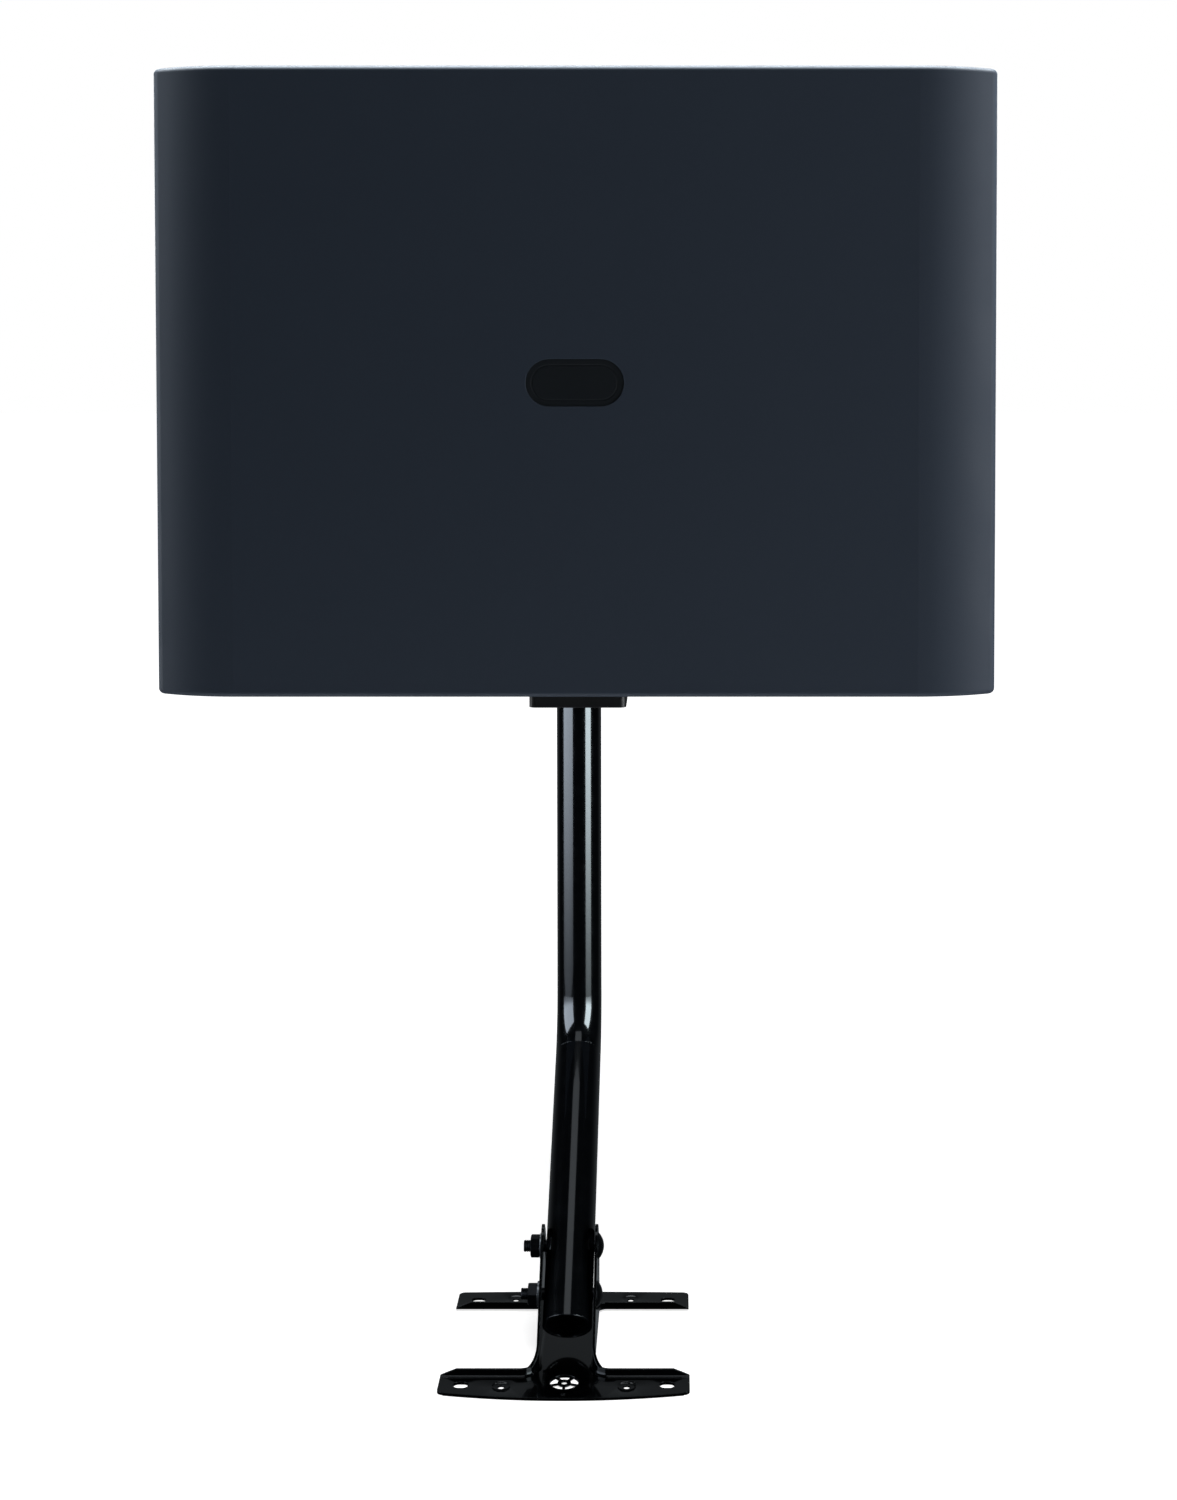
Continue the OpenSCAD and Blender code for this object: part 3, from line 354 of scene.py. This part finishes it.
fm = bpy.data.meshes.new("floor")
bm = bmesh.new()
bmesh.ops.create_grid(bm, x_segments=8, y_segments=8, size=30.0)
bm.to_mesh(fm)
bm.free()
floor = bpy.data.objects.new("floor", fm)
floor.location = (0, 0, -0.0002)
scene.collection.objects.link(floor)
fmat = bpy.data.materials.new("pale_floor")
fmat.use_nodes = True
ft = fmat.node_tree
ft.nodes.clear()
fo = ft.nodes.new("ShaderNodeOutputMaterial")
fadd = ft.nodes.new("ShaderNodeAddShader")
fdif = ft.nodes.new("ShaderNodeBsdfDiffuse")
fem = ft.nodes.new("ShaderNodeEmission")
fnoise = ft.nodes.new("ShaderNodeTexNoise")
fnoise.inputs["Scale"].default_value = 3.0
framp = ft.nodes.new("ShaderNodeMapRange")
framp.inputs["To Min"].default_value = 0.80
framp.inputs["To Max"].default_value = 0.84
ft.links.new(fnoise.outputs["Fac"], framp.inputs["Value"])
ft.links.new(framp.outputs[0], fdif.inputs["Color"])
fcoord = ft.nodes.new("ShaderNodeTexCoord")
flen = ft.nodes.new("ShaderNodeVectorMath")
flen.operation = "LENGTH"
ft.links.new(fcoord.outputs["Object"], flen.inputs[0])
ffade = ft.nodes.new("ShaderNodeMapRange")     # the floor runs out into the pale backdrop with no horizon
ffade.interpolation_type = "SMOOTHSTEP"
for k, v in (("From Min", 0.25), ("From Max", 1.0), ("To Min", 0.72), ("To Max", 1.02)):
    ffade.inputs[k].default_value = v
ft.links.new(flen.outputs["Value"], ffade.inputs["Value"])
ft.links.new(ffade.outputs[0], fem.inputs["Strength"])
ft.links.new(fdif.outputs[0], fadd.inputs[0])
ft.links.new(fem.outputs[0], fadd.inputs[1])
fgeo = ft.nodes.new("ShaderNodeNewGeometry")       # clear from below, so it never hides the underside
fclear = ft.nodes.new("ShaderNodeBsdfTransparent")
fmix = ft.nodes.new("ShaderNodeMixShader")
ft.links.new(fgeo.outputs["Backfacing"], fmix.inputs[0])
ft.links.new(fadd.outputs[0], fmix.inputs[1])
ft.links.new(fclear.outputs[0], fmix.inputs[2])
ft.links.new(fmix.outputs[0], fo.inputs["Surface"])
fm.materials.append(fmat)
floor.visible_glossy = False
floor.visible_diffuse = False
floor.visible_transmission = False
floor.visible_shadow = False

# the housing, the tube and foot, and the floor each have their own soft boxes
def receivers(name, objs):
    c = bpy.data.collections.new(name)
    for o in objs:
        c.objects.link(o)
    return c


FRONT = ("front_shell", "front_badge", "mast_socket")
REAR = ("rear_cover", "drain_plugs", "cover_screws", "cover_gasket")
TUBE = ("mast_tube",)
on_front = receivers("on_front", [NODES[n] for n in FRONT])
on_rear = receivers("on_rear", [NODES[n] for n in REAR])
on_housing = receivers("on_housing", [NODES[n] for n in FRONT + REAR])
on_tube = receivers("on_tube", [NODES[n] for n in TUBE])
on_fittings = receivers("on_fittings", [o for n, o in NODES.items() if n not in FRONT + REAR + TUBE])
on_metal = receivers("on_metal", [o for n, o in NODES.items() if n not in FRONT + REAR])
on_floor = receivers("on_floor", [floor])


def lit(o, c):
    o.light_linking.receiver_collection = c


def fade_down(o, low, full):
    """Dims a tall box towards its lower end, from full power at the fraction full of its height to low at the bottom."""
    d = o.data
    d.use_nodes = True
    t = d.node_tree
    em = next(n for n in t.nodes if n.type == "EMISSION")
    g = t.nodes.new("ShaderNodeNewGeometry")
    sp = t.nodes.new("ShaderNodeSeparateXYZ")
    r = t.nodes.new("ShaderNodeMapRange")
    r.interpolation_type = "SMOOTHSTEP"
    for k, v in (("From Min", 0.0), ("From Max", full), ("To Min", low), ("To Max", 1.0)):
        r.inputs[k].default_value = v
    t.links.new(g.outputs["Position"], sp.inputs[0])
    lift = t.nodes.new("ShaderNodeMath")
    lift.operation = "ADD"
    lift.inputs[1].default_value = -(o.location.z - d.size_y / 2)
    t.links.new(sp.outputs["Z"], lift.inputs[0])
    t.links.new(lift.outputs[0], r.inputs["Value"])
    t.links.new(r.outputs[0], em.inputs["Strength"])


# tube: two tall boxes either side of the camera; foot and fasteners: the same two, dimmer
for group, share in ((on_tube, 1.0), (on_fittings, 0.22)):
    bl = area("box_left", (-1.35, -0.74, 0.49), (0, 0.12, 0.49), 1.62, 1.7, 56.0 * share, (0.75, 0.86, 1.0))
    br = area("box_right", (1.235, -0.90, 0.49), (0, 0.12, 0.49), 0.84, 1.7, 60.0 * share, (0.80, 0.94, 1.0))
    for o in (bl, br):
        fade_down(o, 0.12, 0.50)
        lit(o, group)
lit(area("overhead", (0.0, -0.50, 1.9), (0, -0.05, 0.1), 0.9, 0.75, 1.75, (0.85, 0.93, 1.0)), on_metal)
# a broad faint light behind, so that the tube and foot read from the back too
lit(area("behind", (0.0, 1.5, 2.6), (0, 0.1, 0.2), 2.0, 0.8, 7.0, (0.88, 0.95, 1.0)), on_metal)
# housing: broad fill front and rear that leaves no reflection, side light from the right, a bright backdrop
# behind that skims the top edge, low bounce
lit(area("front_fill", (0.0, -2.2, 0.0), (0, 0.1, 0.45), 2.6, 1.6, 17.0, (0.92, 0.96, 1.0), vis_glossy=False), on_front)
lit(area("rear_fill", (0.5, 2.4, 0.7), (0, 0.17, 0.5), 2.6, 1.6, 24.0, (0.92, 0.96, 1.0)), on_rear)
lit(area("side_right", (1.55, -0.32, 0.50), (0.2, 0.12, 0.5), 0.9, 1.6, 30.0, (0.94, 0.97, 1.0)), on_housing)
lit(area("side_left", (-1.7, 0.20, 0.50), (-0.2, 0.12, 0.5), 0.6, 1.6, 18.0, (0.92, 0.96, 1.0)), on_housing)
lit(area("top_rim", (0.0, 2.2, 1.22), (0, 0.12, 0.67), 3.2, 0.9, 160.0, (0.96, 1.0, 1.0)), on_front)
lit(area("top_soft", (0.0, 0.25, 1.7), (0, 0.14, 0.67), 2.4, 0.40, 225.0, (0.96, 1.0, 1.0)), on_housing)
lit(area("low", (0.0, -0.2, -0.9), (0, 0.12, 0.32), 2.2, 1.0, 22.0, (0.92, 0.96, 1.0)), on_housing)
# floor
lit(area("floor_light", (0.4, -0.6, 2.4), (0, 0.05, 0), 2.2, 2.2, 60.0), on_floor)

cd = bpy.data.cameras.new("camera")
cam = bpy.data.objects.new("camera", cd)
scene.collection.objects.link(cam)
CAM = (0.05506, -1.03139, 0.49704)
cam.location = CAM
cam.rotation_euler = (math.radians(90 - 1.98), 0, 0)
cd.sensor_width = 36.0
cd.sensor_fit = "AUTO"
cd.lens = 48.65
cd.clip_start, cd.clip_end = 0.05, 60.0
scene.camera = cam


def shift_only_here(prop, value):
    """The lens shift of the main view, zero when the camera is moved elsewhere."""
    d = cd.driver_add(prop).driver
    d.type = "SCRIPTED"
    for i, axis in enumerate("xyz"):
        v = d.variables.new()
        v.name = "c" + axis
        v.type = "SINGLE_PROP"
        v.targets[0].id = cam
        v.targets[0].data_path = "location[%d]" % i
    d.expression = "%.5f if abs(cx - %.5f) + abs(cy + %.5f) + abs(cz - %.5f) < 0.002 else 0.0" % (value, CAM[0], -CAM[1], CAM[2])


shift_only_here("shift_x", -0.0579)
shift_only_here("shift_y", -0.1991)

scene.view_settings.view_transform = "Standard"
scene.view_settings.look = "None"

bpy.context.view_layer.update()
